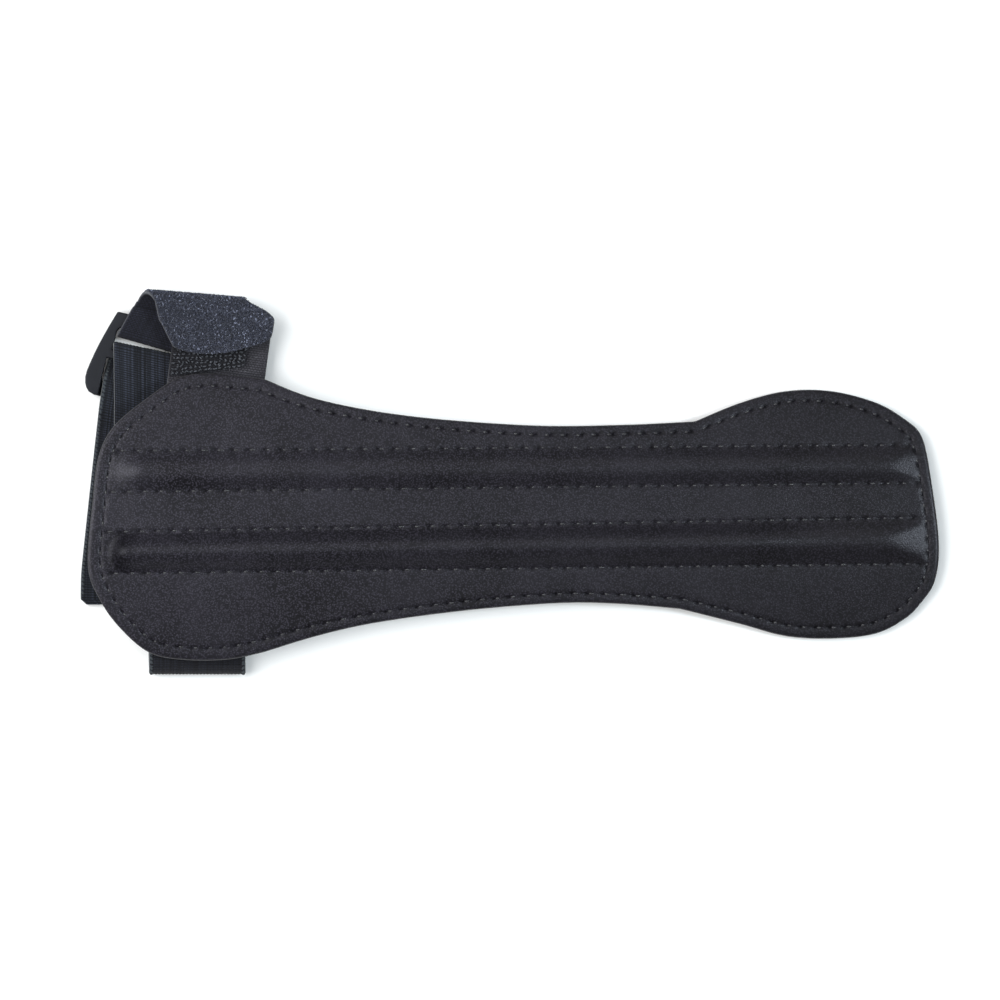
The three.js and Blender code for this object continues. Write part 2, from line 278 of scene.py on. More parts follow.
def wovenMaterial(name, look):
    material, shader = startMaterial(name, Specular_IOR_Level=0.2, Sheen_Weight=look["sheen"])
    along, spot = coordinates(shader, "UV"), coordinates(shader, "Object")
    bricks = addNode(shader, "ShaderNodeTexBrick", {
        "Vector": along, "Scale": 1.0, "Mortar Size": look["gap"], "Mortar Smooth": 1.0,
        "Brick Width": look["yarn"], "Row Height": look["pick"],
        "Color1": (1, 1, 1), "Color2": look["secondYarn"]}, offset=look["stagger"])
    weave = addNode(shader, "ShaderNodeRGBToBW", {"Color": bricks["Color"]})[0]
    picks = addNode(shader, "ShaderNodeTexWave", {
        "Vector": along, "Scale": look["pickWave"] / look["pick"], "Distortion": 0.7,
        "Detail": 1.0, "Detail Scale": 2.0}, bands_direction="Y")["Fac"]
    fuzz = noiseOn(spot, look["fuzzScale"], detail=4, rough=0.65)
    cloud = noiseOn(spot, look["cloudScale"])
    streaks = noiseOn(coordinates(shader, "UV", look["streakScale"]), 1.0)
    specks = noiseOn(spot, look["speckScale"], detail=2, rough=0.5)
    dark, first = look["dark"], look["speckFrom"]
    tone = rampOn(weigh(weave, fuzz, look["weaveShare"]), look["toneStops"], (dark, look["light"]))
    tone = tintWhere(tone, dark, cloud, *look["cloudStops"])
    tone = tintWhere(tone, dark, picks, *look["lineStops"], look["lines"], 0)
    tone = tintWhere(tone, dark, streaks, *look["streakStops"], 0, look["streak"])
    tone = tintWhere(tone, look["fleck"], specks, first, first + look["speckSpan"], 0, look["speckShare"])
    # patch: the closure's pile side in its own colour; on the elastic, painted shade on the lower fold
    tone = blendColours(readAttribute(shader, "patch"), tone, look["patch"])
    # the strap's edge: the selvedge's own paler yarn and a painted highlight where the edge catches the
    # light
    tone = blendColours(readAttribute(shader, "edge"), tone, look["selvedgeAndHighlight"])
    finishMaterial(shader, tone, greyRamp(fuzz, *look["roughStops"]),
                   [(weave, look["depth"]), (fuzz, look["fuzz"])])
    return material


plasticLook = dict(
    tint=(0.83, 0.86, 1), fineScale=2600, depth=0.00002, cloudScale=260,
    toneStops=(0.3, 0.75), toneRange=((0.7, 0.75, 0.86), (1.2, 1.28, 1.45)),
    roughStops=(0.3, 0.7), roughRange=0.06,
)


def plasticMaterial(name, shade, roughness):
    look = plasticLook
    material, shader = startMaterial(name, Specular_IOR_Level=0.27, Specular_Tint=look["tint"])
    spot = coordinates(shader, "Object")
    cloud = noiseOn(spot, look["cloudScale"], detail=4)
    tones = [tuple(shade * share for share in shares) for shares in look["toneRange"]]
    rough = greyRamp(cloud, *look["roughStops"], roughness + look["roughRange"],
                     roughness - look["roughRange"])
    finishMaterial(shader, rampOn(cloud, look["toneStops"], tones), rough,
                   [(noiseOn(spot, look["fineScale"]), look["depth"])])
    return material


# Panel outline, the same four runs as the cut leather, in mm from the panel's middle

outlineRuns = [
    [(-64.7, 35.2), (-50.2, 29.8), (-26.9, 25.6), (4.1, 23.2), (27.4, 23.3), (46.8, 24.2)],
    [(46.8, 24.2), (58.5, 29), (70.1, 32), (81.8, 32.1), (93.4, 29.2), (101.2, 24.8),
     (105.6, 20.2), (107.9, 9.8), (110, -7), (109, -16.9), (105.6, -22.5), (101.2, -26.9),
     (93.4, -30.8), (81.8, -32), (70.1, -31.3), (58.5, -28.2), (43, -24.3)],
    [(43, -24.3), (27.4, -23), (11.9, -22.8), (-11.4, -24.6), (-34.7, -27.7), (-50.2, -31.1),
     (-64.7, -35.5)],
    [(-64.7, -35.5), (-74, -37.4), (-85.1, -37.5), (-94.2, -35.7), (-101.7, -29.5),
     (-107.1, -22), (-110.2, -13.2), (-109, 3.4), (-107.4, 15.4), (-103.2, 23.3),
     (-94.2, 30.8), (-86.5, 35.6), (-78, 36.6), (-64.7, 35.2)],
]


def runPoints(points, steps=40):
    spots = [Vector(p) for p in points]
    result = []
    for i in range(len(spots) - 1):
        before, start = spots[max(i - 1, 0)], spots[i]
        end, after = spots[i + 1], spots[min(i + 2, len(spots) - 1)]
        leave, arrive = (end - before) / 2, (after - start) / 2
        for step in range(steps):
            t = step / steps
            result.append((2 * start - 2 * end + leave + arrive) * t ** 3
                          + (3 * end - 3 * start - 2 * leave - arrive) * t ** 2
                          + leave * t + start)
    return result


def evenPoints(loop, pitch, per):  # whole pitches, each in equal parts
    closed = loop + [loop[0]]
    lengths = [0]
    for a, b in zip(closed, closed[1:]):
        lengths.append(lengths[-1] + (b - a).length)
    count = round(lengths[-1] / pitch) * per
    result, i = [], 0
    for step in range(count):
        want = lengths[-1] * step / count
        while lengths[i + 1] < want:
            i += 1
        share = (want - lengths[i]) / (lengths[i + 1] - lengths[i])
        result.append(closed[i].lerp(closed[i + 1], share))
    return result


def aheadOf(loop, i):
    return (loop[(i + 1) % len(loop)] - loop[i - 1]).normalized()


def inwardOf(loop, i):  # the loop runs anticlockwise, so its left hand is inside
    ahead = aheadOf(loop, i)
    return Vector((-ahead.y, ahead.x))


def treeOf(loop):
    tree = KDTree(len(loop))
    for i, p in enumerate(loop):
        tree.insert((p.x, p.y, 0), i)
    tree.balance()
    return tree


seam = dict(
    pitch=4.0, rowPitch=4.18, perStitch=5, waist=2.35,
    ends=[(3.2, -30, -45), (2.8, 25, 40)],  # offset at an end, where it starts to grow, its reach
    groove=0.06, grooveWidth=0.6, grooveShade=0.06, reach=3.5,
    hole=0.34, holeWidth=0.36, holeLength=0.8, edgeShade=0.68, rowShade=0.55,
    pucker=0.03, puckerAt=1.5, puckerWidth=0.7,
    rowsFrom=0.6, rowHolesFrom=0.8,  # how far inside the edge seam the rows start
)
panel = dict(
    crown=180, elbowX=-80, ridge=10.8, slope=-0.0469,
    backThick=1.0, gap=0.3, faceThick=1.3,
    ribHeight=(1.35, 2.75), ribMargin=0.5, ribFullness=1.35, ribNose=2.0,
    ribEnds=[  # start and reach at the elbow, end and reach at the wrist
        (-105.0, 9.0, 105.4, 7.4), (-105.2, 4.8, 107.0, 8.8)],
    ribSink=[  # where the wrist half sinks, over what length, by what share
        (64, 30, 0.24), (52, 34, 0.42)],
    ribCrease=0.3, ribFallCap=3, endShade=0.46, endShadeReach=3.2,
    rows=[(16.6, 18.1), (6.0, 8.2), (-4.3, -0.8), (-15.1, -12.7)],  # Y at the elbow, at the wrist
    ribRows=[(0, 1), (2, 3)], rowReach=100, rowShift=[0, 2, 1, 3], rowEnd=108,
    rings=[0.22, 0.3, 0.45, 0.55, 0.55, 0.4, 0.33, 0.33, 0.4, 0.6, 0.8, 1.0],
    seamRing=2.8, rim=0.01,  # the ring that goes to the seam, and what counts as the edge
    nearRow=(-1.3, -0.8, -0.4, 0, 0.4, 0.8, 1.3), besideRow=1.9,
    betweenRows=[(0, 1, 13), (2, 3, 13), (1, 2, 6)],  # two rows, and how many cuts between them
    outside=(2.1, 1.55, 9),  # first cut beyond the outer rows, step, count
    columnEnd=109, backCuts=(-32, 33, 4), backColumns=(-104, 109, 4), merge=0.00004,
    edgeRound=0.6, edgeDrop=0.35, backDrop=0.25, backRelief=0.7,
    cutWidth=0.3, cutFade=0.9,
    swells=[(0.14, 17, 3.1), (0.05, 5, 7.7)], swellFrom=6,  # depth, size, place in the noise
)

wholeLoop = [p for run in outlineRuns for p in runPoints(run)][::-1]
outline = evenPoints(wholeLoop, seam["pitch"], seam["perStitch"])
outlineTree = treeOf(outline)


def seamOffset(x):
    offset = seam["waist"]
    for wide, start, reach in seam["ends"]:
        offset += (wide - seam["waist"]) * ease((x - start) / reach)
    return offset


seamLine = [p + inwardOf(outline, i) * seamOffset(p.x) for i, p in enumerate(outline)]
seamTree = treeOf(seamLine)
columnStep = seam["rowPitch"] / seam["perStitch"]
columnStart = -106.4


def underside(x, y):
    return panel["ridge"] + (x - panel["elbowX"]) * panel["slope"] - y * y / (2 * panel["crown"])


def rowAt(row, x):
    elbow, wrist = panel["rows"][row]
    return elbow + (wrist - elbow) * (x + panel["rowReach"]) / (2 * panel["rowReach"])


def ribLift(x, y):
    for rib, (top, bottom) in enumerate(panel["ribRows"]):
        upper = rowAt(top, x) - panel["ribMargin"]
        lower = rowAt(bottom, x) + panel["ribMargin"]
        if lower < y < upper:
            elbow, elbowReach, wrist, wristReach = panel["ribEnds"][rib]
            across = abs(2 * (upper - y) / (upper - lower) - 1)
            share = ease((x - elbow - panel["ribNose"] * across ** 2) / elbowReach)
            sinkFrom, sinkReach, sunk = panel["ribSink"][rib]
            share *= 1 - sunk * ease((x - sinkFrom) / sinkReach)
            hump = (1 - across ** 2) ** panel["ribFullness"]
            fall = min((wrist - x) / wristReach, panel["ribFallCap"])  # flat from the end to the seam
            lift = (hump + fall - hypot(hump - fall, panel["ribCrease"])) / 2
            return panel["ribHeight"][rib] * share * max(lift, 0)
    return 0


def ribEndShade(x, y):  # painted shade round the lower rib's steep end: darker colour and weaker specular, so the end shows no highlight
    top, low = (rowAt(row, x) for row in panel["ribRows"][1])
    across = abs(2 * (top - y) / (top - low) - 1)
    if across >= 1:
        return 0
    start, reach, _, _ = panel["ribEnds"][1]
    away = x - start - panel["ribNose"] * across ** 2 - reach / 2
    return panel["endShade"] * dropOf(away, panel["endShadeReach"])


def faceSkin(x, y):
    layers = panel["backThick"] + panel["gap"] + panel["faceThick"]
    return underside(x, y) + layers + ribLift(x, y)


def backSkin(x, y):
    return underside(x, y) + panel["backThick"]


def edgeAt(x, y):
    _, i, _ = outlineTree.find((x, y, 0))
    inward = inwardOf(outline, i)
    return inward.dot(Vector((x, y)) - outline[i]), i, inward


def fromHole(along, pitch):
    return min(along % pitch, pitch - along % pitch)


def edgeSeamAt(x, y):
    _, i, _ = seamTree.find((x, y, 0))
    ahead = aheadOf(seamLine, i)
    away = Vector((x, y)) - seamLine[i]
    per = seam["perStitch"]
    along = (i % per) * seam["pitch"] / per + ahead.dot(away)
    return abs(ahead.x * away.y - ahead.y * away.x), fromHole(along, seam["pitch"])


def rowHoles(row):
    holes = stepsTo(columnStart + panel["rowShift"][row] * columnStep, seam["rowPitch"], panel["rowEnd"])
    return [x for x in holes if edgeAt(x, rowAt(row, x))[0] > seamOffset(x) + seam["rowHolesFrom"]]


def rowSeamAt(x, y):
    away, shift = min((abs(y - rowAt(row, x)), shift) for row, shift in enumerate(panel["rowShift"]))
    return away, fromHole(x - columnStart - shift * columnStep, seam["rowPitch"])


def seamDent(away, along, shade):
    if away > seam["reach"]:
        return 0, 0
    groove = dropOf(away, seam["grooveWidth"])
    hole = dropOf(away, seam["holeWidth"]) * dropOf(along, seam["holeLength"])
    between = 0.5 - 0.5 * cos(2 * pi * along / seam["pitch"])
    beside = dropOf(away - seam["puckerAt"], seam["puckerWidth"]) * between
    drop = seam["groove"] * groove + seam["hole"] * hole - seam["pucker"] * beside
    # the second value is the share of painted shade in the needle hole and the groove
    return drop, min(hole * shade + groove * seam["grooveShade"], 1)


# Cut sheet of leather: an outline, rings that follow its edge, and rows and columns inside them

def cutSheet(name, rowLines, columns):
    bpy.ops.mesh.primitive_circle_add(vertices=len(outline), radius=0.1, fill_type="NGON")
    piece = nameActive(name)
    for vertex, p in zip(piece.data.vertices, outline):
        vertex.co = placed(p.x, p.y, 0)
    startEdit()
    for width in panel["rings"]:
        bpy.ops.mesh.inset(thickness=width * mm, use_boundary=True, use_even_offset=True)
    bpy.ops.mesh.hide(unselected=True)  # the rings stay whole while the middle is cut
    reach = panel["rowReach"]
    cuts = [(placed(-reach, elbow, 0), Vector((elbow - wrist, 2 * reach, 0)).normalized())
            for elbow, wrist in rowLines]
    cuts += [(placed(x, 0, 0), (1, 0, 0)) for x in columns]
    for place, lean in cuts:
        bpy.ops.mesh.select_all(action="SELECT")
        bpy.ops.mesh.bisect(plane_co=place, plane_no=lean, threshold=panel["merge"])
    bpy.ops.mesh.reveal(select=False)
    bpy.ops.object.mode_set(mode="OBJECT")
    return piece


def fitRings(piece):  # the rings close up or spread so that one lies on the seam
    reach, nominal = sum(panel["rings"]), panel["seamRing"]
    fitted = []
    for vertex in piece.data.vertices:
        p = Vector((vertex.co.x / mm - panelShift.x, vertex.co.y / mm - panelShift.y))
        away, i, inward = edgeAt(p.x, p.y)
        if panel["rim"] < away < reach:
            share = seamOffset(outline[i].x) / nominal - 1
            fade = 1 - ease((away - nominal) / (reach - nominal))
            p = p + inward * away * share * fade
        fitted.append(p)
    return fitted


def storeShares(piece, name, values):
    attribute = piece.data.attributes.new(name, "FLOAT", "POINT")
    attribute.data.foreach_set("value", values)


def faceRowLines():
    rows, beside = panel["rows"], panel["besideRow"]
    lines = [(elbow + d, wrist + d) for elbow, wrist in rows for d in panel["nearRow"]]
    for top, bottom, count in panel["betweenRows"]:
        for i in range(count):
            t = i / (count - 1)
            lines.append(tuple(high - beside + (low - high + 2 * beside) * t
                               for high, low in zip(rows[top], rows[bottom])))
    first, step, count = panel["outside"]
    for i in range(count):
        out = first + i * step
        lines.append(tuple(y + out for y in rows[0]))
        lines.append(tuple(y - out for y in rows[-1]))
    return lines


def faceShape(x, y, edge):
    drop, share = seamDent(*edgeSeamAt(x, y), seam["edgeShade"])
    if edge > seamOffset(x) + seam["rowsFrom"]:
        drop, share = max((drop, share), seamDent(*rowSeamAt(x, y), seam["rowShade"]))
    if edge < panel["edgeRound"]:
        drop += panel["edgeDrop"] * (1 - edge / panel["edgeRound"]) ** 2
    swell = sum(depth * noise.noise((x / size, y / size, at)) for depth, size, at in panel["swells"])
    height = faceSkin(x, y) - drop + swell * ease(edge / panel["swellFrom"])
    # the share of painted shade from the seams and from the lower rib's end
    return height, max(share, ribEndShade(x, y))


def backShape(x, y, edge):
    drop, share = seamDent(*edgeSeamAt(x, y), seam["edgeShade"])
    if edge < panel["edgeRound"]:
        drop += panel["backDrop"] * (1 - edge / panel["edgeRound"]) ** 2
    return underside(x, y) + max(drop, 0) * panel["backRelief"], share


def makeLeather(name, rowLines, columns, topAt, thick, faceUp, shapeAt):
    piece = cutSheet(name, rowLines, columns)
    spots = fitRings(piece)
    finishWith(piece, "SOLIDIFY", thickness=mm, offset=-1)  # both faces are placed next
    shadeShares, edgeShares = [], []
    for i, vertex in enumerate(piece.data.vertices):
        p = spots[i % len(spots)]
        edge = edgeAt(p.x, p.y)[0]
        height, share = topAt(p.x, p.y) - (thick if faceUp else 0), 0.0  # the hidden side is plain
        if (i < len(spots)) == faceUp:
            height, share = shapeAt(p.x, p.y, edge)
        vertex.co = placed(p.x, p.y, height)
        shadeShares.append(share)
        onCut = edge < panel["cutWidth"]
        edgeShares.append(1 - ease(edge / panel["cutWidth"]) * panel["cutFade"] if onCut else 0.0)
    storeShares(piece, "seam", shadeShares)
    storeShares(piece, "edge", edgeShares)
    smoothShade(piece, 60)
    return piece


def makeFacePanel(material):
    columns = stepsTo(columnStart, columnStep, panel["columnEnd"])
    piece = makeLeather("facePanel", faceRowLines(), columns, faceSkin, panel["faceThick"], True,
                        faceShape)
    hand(piece, "leather_face", material, "face_panel")


def makeBackPanel(material):
    lines = [(y, y) for y in range(*panel["backCuts"])]
    piece = makeLeather("backPanel", lines, range(*panel["backColumns"]), backSkin,
                        panel["backThick"], False, backShape)
    hand(piece, "leather_back", material, "back_panel")


# Seam thread: one stitch, laid again from needle hole to needle hole

stitch = dict(
    radius=0.28, sides=6, sink=0.62, crown=-0.08, uneven=0.12, pull=(-0.3, 1),
    bed=0.02, bedBelow=0.05, probe=0.4,
    stations=[  # share along, share sunk, share of the thickness
        (-0.46, 1.1, 0.8), (-0.38, 0.5, 0.95), (-0.31, 0.08, 1.1), (-0.24, 0.0, 1.15),
        (-0.15, 0.2, 1.05), (0.12, 0.5, 0.9), (0.48, 1.1, 0.7)],
)


def makeStitch():
    bpy.ops.mesh.primitive_circle_add(
        vertices=stitch["sides"], radius=stitch["radius"] * mm, fill_type="NGON",
        rotation=(0, radians(90), 0))
    template = nameActive("stitch")
    bpy.ops.object.transform_apply()
    startEdit()
    rings = [(x, stitch["crown"] - stitch["sink"] * sink, size) for x, sink, size in stitch["stations"]]
    x, z, size = rings[0]
    bpy.ops.transform.translate(value=(x, 0, z * mm))
    bpy.ops.transform.resize(value=(1, size, size))
    for (x, z, size), (nextX, nextZ, nextSize) in zip(rings, rings[1:]):
        bpy.ops.mesh.extrude_region_move(
            TRANSFORM_OT_translate={"value": (nextX - x, 0, (nextZ - z) * mm)})
        bpy.ops.transform.resize(value=(1, nextSize / size, nextSize / size))
    finishEdit()
    return template


def stitchPlace(start, end, up):
    ahead = end - start
    side = up.cross(ahead).normalized()
    lift = ahead.cross(side).normalized()
    place = Matrix((ahead, side, lift)).transposed().to_4x4()
    place.translation = (start + end) / 2
    return place


def skinUp(x, y, skin):
    step = stitch["probe"]
    return Vector((skin(x - step, y) - skin(x + step, y), skin(x, y - step) - skin(x, y + step),
                   2 * step)).normalized()


def layStitches(holes, skin, below):
    places = []
    draw = random.Random(len(holes))
    for a, b in zip(holes, holes[1:]):
        up = skinUp((a.x + b.x) / 2, (a.y + b.y) / 2, skin)
        sunk = draw.uniform(*stitch["pull"]) * stitch["uneven"]  # no two stitches are pulled alike
        start, end = (placed(p.x, p.y, skin(p.x, p.y) + (sunk if below else -sunk)) for p in (a, b))
        places.append(stitchPlace(end, start, -up) if below else stitchPlace(start, end, up))
    return places


def makeThreads(material):
    edgeHoles = seamLine[::seam["perStitch"]] + [seamLine[0]]
    rows = [[Vector((x, rowAt(row, x))) for x in rowHoles(row)] for row in range(len(panel["rows"]))]
    sunk = seam["groove"] + stitch["bed"]
    sides = [("", lambda x, y: faceSkin(x, y) - sunk, False, "leather_face"),
             ("Below", lambda x, y: underside(x, y) + stitch["bedBelow"], True, "leather_back")]
    for name, lines in (("edgeThread", [edgeHoles]), ("rowThread", rows)):
        for ending, skin, below, slotName in sides:
            places = [place for holes in lines for place in layStitches(holes, skin, below)]
            layCopies(name + ending, makeStitch(), places, 70, slotName, material)


# Straps: a grid laid along a route, given its two faces and its own relief

strap = dict(rounds=8, edgeHighlightWidth=0.18, edgeShare=0.35)
strapSection = namedtuple("strapSection", "point across up width run")


def strapPath(route, stride=1.3):
    at, turns, bends = [], [], []
    for x, y, z, yaw, roll, width, bend in route:
        at.append(Vector((x, y, z)))
        turns.append((radians(yaw), radians(roll), width))
        bends.append(bend)
    path = [(at[0], *turns[0])]
    for i in range(1, len(route) - 1):
        before, after = (at[i].lerp(at[k], bends[i] / (at[i] - at[k]).length) for k in (i - 1, i + 1))
        for step in range(strap["rounds"] + 1):
            t = step / strap["rounds"]
            spot = before * (1 - t) ** 2 + at[i] * 2 * t * (1 - t) + after * t * t
            path.append((spot, *turns[i]))
    path.append((at[-1], *turns[-1]))
    dense = [path[0]]
    for (p, *turn), (q, *nextTurn) in zip(path, path[1:]):
        parts = max(1, ceil((q - p).length / stride))
        for part in range(1, parts + 1):
            t = part / parts
            dense.append((p.lerp(q, t), *(a + (b - a) * t for a, b in zip(turn, nextTurn))))
    return dense


def strapSections(path):
    sections, run = [], 0
    for i, (point, yaw, roll, width) in enumerate(path):
        before, after = path[max(i - 1, 0)][0], path[min(i + 1, len(path) - 1)][0]
        ahead = (after - before).normalized()
        across = Vector((cos(yaw), sin(yaw), tan(roll))).normalized()
        if i:
            run += (point - path[i - 1][0]).length
        sections.append(strapSection(point, across, across.cross(ahead).normalized(), width, run))
    return sections


def onStrap(section, u, side, half):
    return section.point + section.across * section.width * (u - 0.5) + section.up * side * half


def makeStrap(name, sections, columns, halfAt, patchAt=lambda run, side: 0.0):
    rows = len(sections) - 1
    bpy.ops.mesh.primitive_grid_add(x_subdivisions=columns, y_subdivisions=rows, size=1)
    piece = nameActive(name)
    shares = [(v.co.x + 0.5, round((v.co.y + 0.5) * rows)) for v in piece.data.vertices]
    finishWith(piece, "SOLIDIFY", thickness=mm, offset=0)  # both faces are placed next
    edgeHighlights, patches = [], []
    for i, vertex in enumerate(piece.data.vertices):
        u, row = shares[i % len(shares)]
        side = 1 if i < len(shares) else -1
        section = sections[row]
        vertex.co = placed(*onStrap(section, u, side, halfAt(u, section.run, section.width)))
        away = min(u, 1 - u) * section.width
        # painted highlight along the strap's edge, over the selvedge's own colour
        edgeHighlights.append(1 - ease(away / strap["edgeHighlightWidth"]))
        patches.append(patchAt(section.run, side))
    layer = piece.data.uv_layers.active
    for loop in piece.data.loops:
        u, row = shares[loop.vertex_index % len(shares)]
        layer.data[loop.index].uv = (u * sections[row].width * mm, sections[row].run * mm)
    storeShares(piece, "edge", edgeHighlights)
    storeShares(piece, "patch", patches)
    smoothShade(piece, 50)
    return piece


def roundEdge(u, width, half, radius):
    away = min(u, 1 - u) * width
    if away >= radius:
        return half
    curve = sqrt(max(1 - (1 - away / radius) ** 2, 0))
    return half * (strap["edgeShare"] + (1 - strap["edgeShare"]) * curve)


def plainHalf(own):
    return lambda u, run, width: roundEdge(u, width, own["thick"] / 2, own["edgeRound"])


def sewnUnder(x, y, yaw, thick):
    turn = radians(yaw)
    tip = panel["slope"] * cos(turn) - (y / panel["crown"]) * sin(turn)
    return (x, y, underside(x, y) - panel["gap"] - thick / 2, yaw, degrees(atan(tip)))


elastic = dict(
    thick=1.3, ribs=28, ribDepth=0.11, perRib=4, barYaw=-13.8, foldYaw=-11.8,
    edgeRound=0.5, endRound=1.6, lowFold=27.0, foldShade=0.65, foldShadeReach=4,
    bead=1.05, beadSize=(0.74, 0.46, 0.62), beadTilt=38, beadInset=0.62, beadLift=0.2,
)
elasticLook = dict(
    plainWeave, dark=(0.0016, 0.002, 0.0028), light=(0.039, 0.046, 0.069),
    # patch is painted shade on the lower fold that shows below the panel
    fleck=(0.06, 0.07, 0.09), patch=(0.0062, 0.0055, 0.008),
    sheen=0.04, streak=0.75, speckFrom=0.74, lines=0.6, stagger=0.0,
    yarn=0.0009, pick=0.0006, gap=0.00013, depth=0.00016, fuzz=0.00005,
)
selvedgeLook = dict(
    plainWeave, dark=(0.034, 0.04, 0.046), light=(0.15, 0.165, 0.175),
    fleck=(0.2, 0.215, 0.225), speckFrom=0.66,
    yarn=0.0005, pick=0.0003, gap=0.00005, depth=0.00004,
)


def elasticSections():
    bar, fold, thick = elastic["barYaw"], elastic["foldYaw"], elastic["thick"]
    route = [
        (*sewnUnder(-82, -22, 0, thick), 25, 0), (*sewnUnder(-82, -36, 0, thick), 25, 3),
        (-82, -40.65, 5.3, 0, 0, 25, 2.1), (-82, -40.65, 0.68, 0, 0, 25, 2.1),
        (-82.4, -32, 0.68, -4, 0, 25, 4), (-83.6, -24.6, 2.5, -8, 0, 25, 3),
        (-90.4, 12, 2.5, -6, 0, 25, 6), (-91.1, 19.4, 2.5, -10, 0, 25.2, 2.5),
        (-91.2, 26.4, 4.35, bar, 0, 25.4, 2), (-91.3, 41.84, 4.4, fold, 0, 25.4, 1.8),
        (-91.5, 41.84, 0.65, fold, 0, 25.4, 1.8), (-93.4, 35.2, 0.65, bar, 0, 25.4, 1),
        (-94, 32.4, 2.7, bar, 0, 25.4, 1), (-95, 26, 2.7, bar, 0, 25.4, 1.6),
        (-95.7, 20.4, 0.65, -10, 0, 25.2, 2), (-99.7, -15.5, 0.65, -3, 0, 25, 3),
        (-99.8, -23.2, 0.65, 0, 0, 25, 0),
    ]
    sections, reach = strapSections(strapPath(route)), elastic["endRound"]
    result = []
    for section in sections:  # the free end's corners are rounded off
        left, width = sections[-1].run - section.run, section.width
        if left < reach:
            width -= 2 * reach * (1 - sqrt(max(1 - (1 - left / reach) ** 2, 0)))
        result.append(section._replace(width=width))
    return result


def elasticHalf(u, run, width):
    rib = cos(2 * pi * u * elastic["ribs"])
    half = elastic["thick"] / 2 - elastic["ribDepth"] * (0.5 - 0.5 * rib)
    return roundEdge(u, width, half, elastic["edgeRound"])


# painted shade on the elastic's lower fold where it shows below the panel, fading out past lowFold
def foldShadeShare(run, side):
    return elastic["foldShade"] * (1 - ease((run - elastic["lowFold"]) / elastic["foldShadeReach"]))


def makeBead():
    bpy.ops.mesh.primitive_uv_sphere_add(segments=6, ring_count=4, radius=1)
    template = nameActive("bead")
    startEdit()
    bpy.ops.transform.resize(value=tuple(s * mm for s in elastic["beadSize"]))
    bpy.ops.object.mode_set(mode="OBJECT")
    return template


def selvedgePlaces(sections):
    tilt, inset = radians(elastic["beadTilt"]), elastic["beadInset"]
    places, want = [], elastic["bead"] / 2
    whole = sections[-1].run - elastic["endRound"]
    for a, b in zip(sections, sections[1:]):
        while a.run <= want < min(b.run, whole):
            t = (want - a.run) / (b.run - a.run)
            point, width = a.point.lerp(b.point, t), a.width + (b.width - a.width) * t
            across, up = a.across.lerp(b.across, t).normalized(), a.up.lerp(b.up, t).normalized()
            for side in (-1, 1):
                lean = Matrix.Rotation(side * tilt, 3, up)
                place = Matrix((lean @ up.cross(across), lean @ -across, up)).transposed().to_4x4()
                bead = point + across * side * (width / 2 - inset) - up * elastic["beadLift"]
                bead.z = max(bead.z, elastic["beadSize"][2])  # none sinks into what it lies on
                place.translation = placed(*bead)
                places.append(place)
            want += elastic["bead"]
    return places


def makeElastic(material, yarnMaterial):
    sections = elasticSections()
    columns = elastic["ribs"] * elastic["perRib"]
    piece = makeStrap("elasticStrap", sections, columns, elasticHalf, foldShadeShare)
    hand(piece, "elastic", material, "elastic_strap")
    places = selvedgePlaces(sections)
    beads = layCopies("elasticSelvedge", makeBead(), places, 80, "elastic", yarnMaterial)


closure = dict(
    thick=1.2, columns=60, stride=0.7, edgeRound=0.5, loopYaw=-16.0,
    bulge=4.1, endRounds=(1.3, 5.0),  # the flap's end, fuller on its right
    endShares=(0.2, 0.38, 0.54, 0.67, 0.78, 0.87, 0.935, 0.975, 0.995),
    cuts=[  # run along the strap, how far its right edge is cut
        (27.5, 0), (29, 0.45), (30.3, 1.05), (31.6, 1.2), (33.3, 1.1), (34.1, 0.63), (35.3, -0.99),
        (35.9, -1.6), (36.6, -1.07), (37.3, -0.46), (38, 0.05), (38.7, 0.45), (39.4, -0.07),
        (40.2, -0.48), (41.3, -0.81), (42.5, -0.72), (43.8, -0.13), (45, 0.51), (46.9, 1.07),
        (47.8, 1.1), (48.5, 0.8), (49, 0.26), (51, 0)],
    pileFrom=27.0, pileFade=2, pileInset=0.4, loops=4400, loop=0.3, yarn=0.085,
    loopCut=0.1, loopLean=0.7, loopWide=(0.7, 1.25), loopHigh=(0.6, 1.15), seed=11,
)
closureLook = dict(
    plainWeave, dark=(0.0014, 0.0015, 0.0026), light=(0.018, 0.019, 0.0335),
    fleck=(0.06, 0.065, 0.085), selvedgeAndHighlight=(0.08, 0.083, 0.095), patch=(0.02, 0.022, 0.032),
    sheen=0.03, streak=0.4, speckFrom=0.7, lines=0.3,
    yarn=0.0009, pick=0.00055, gap=0.00013, depth=0.00018, fuzz=0.00008,
)
pileLook = dict(
    plainWeave, dark=(0.012, 0.014, 0.024), light=(0.44, 0.48, 0.68),
    fleck=(0.42, 0.46, 0.62), sheen=0.15, speckFrom=0.6,
    yarn=0.0006, pick=0.0006, gap=0.00006, depth=0.00004, fuzz=0.00006,
)


def tableAt(table, at):
    for (a, low), (b, high) in zip(table, table[1:]):
        if a <= at <= b:
            return low + (high - low) * (at - a) / (b - a)
    return 0


